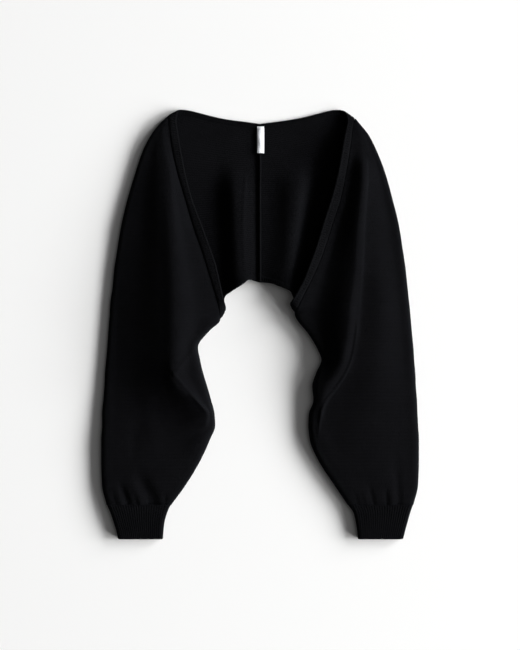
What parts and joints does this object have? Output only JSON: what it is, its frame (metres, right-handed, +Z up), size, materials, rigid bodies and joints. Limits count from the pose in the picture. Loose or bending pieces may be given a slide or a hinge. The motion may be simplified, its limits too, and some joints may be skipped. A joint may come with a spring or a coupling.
{
  "type": "knitted shrug",
  "caption": "Cropped open-front knitted shrug with long full sleeves and ribbed cuffs, laid flat and open on its back, with a blank neck label.",
  "frame": {"origin": "centre of the object's footprint, on the surface it lies on", "axes": "+Z up off the surface, out of the open front; +Y from the cuffs towards the neck; +X to the wearer's left sleeve, on the right when seen from above"},
  "size_m": [0.5548, 0.7506, 0.0419],
  "materials": {
    "knit": "matt black fine knit",
    "rib": "matt black ribbed knit",
    "band": "matt black double knit band",
    "label": "white woven tape"
  },
  "bodies": {
    "root": {"half_left": "knit", "half_right": "knit", "cuff_left": "rib", "cuff_right": "rib", "edge_band_left": "band", "edge_band_right": "band", "hem_band_left": "band", "hem_band_right": "band", "centre_back_seam": "band", "neck_label": "label"}
  },
  "joints": []
}
